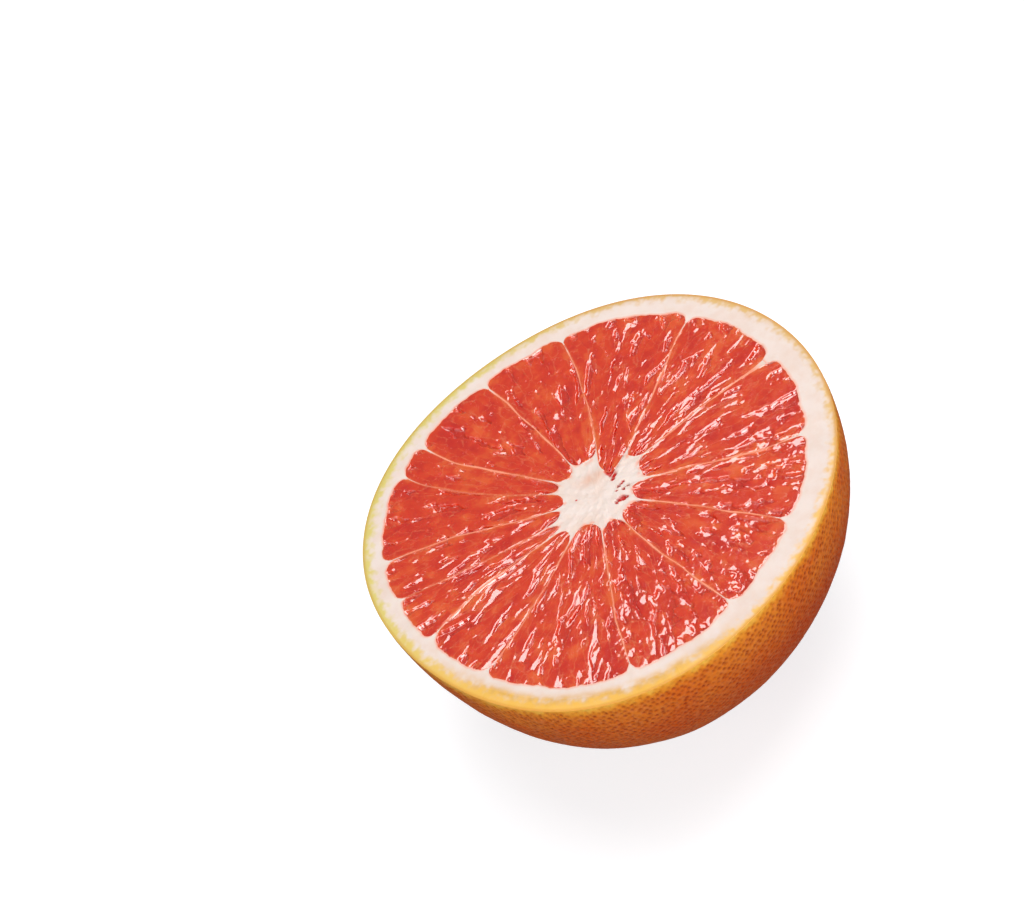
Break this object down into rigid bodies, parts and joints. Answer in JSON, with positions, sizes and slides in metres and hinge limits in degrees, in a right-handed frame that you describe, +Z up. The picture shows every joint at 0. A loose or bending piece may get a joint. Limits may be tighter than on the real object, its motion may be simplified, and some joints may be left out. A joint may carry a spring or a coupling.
{
  "type": "red grapefruit half",
  "caption": "Half of a fresh red grapefruit, cut across the middle, lying cut face up on its round end to show pulp segments, pith and rind.",
  "frame": {"origin": "middle of the small flat spot at the blossom end, which the half stands on", "axes": "+Z up along the fruit's axis, out of the cut face; +X and +Y along the cut face"},
  "size_m": [0.0997, 0.0995, 0.0475],
  "materials": {
    "rind": "satin, waxy and pored",
    "pith": "matt, moist and spongy",
    "pulp": "wet and translucent"
  },
  "bodies": {
    "root": {"half_grapefruit": "rind"}
  },
  "joints": []
}
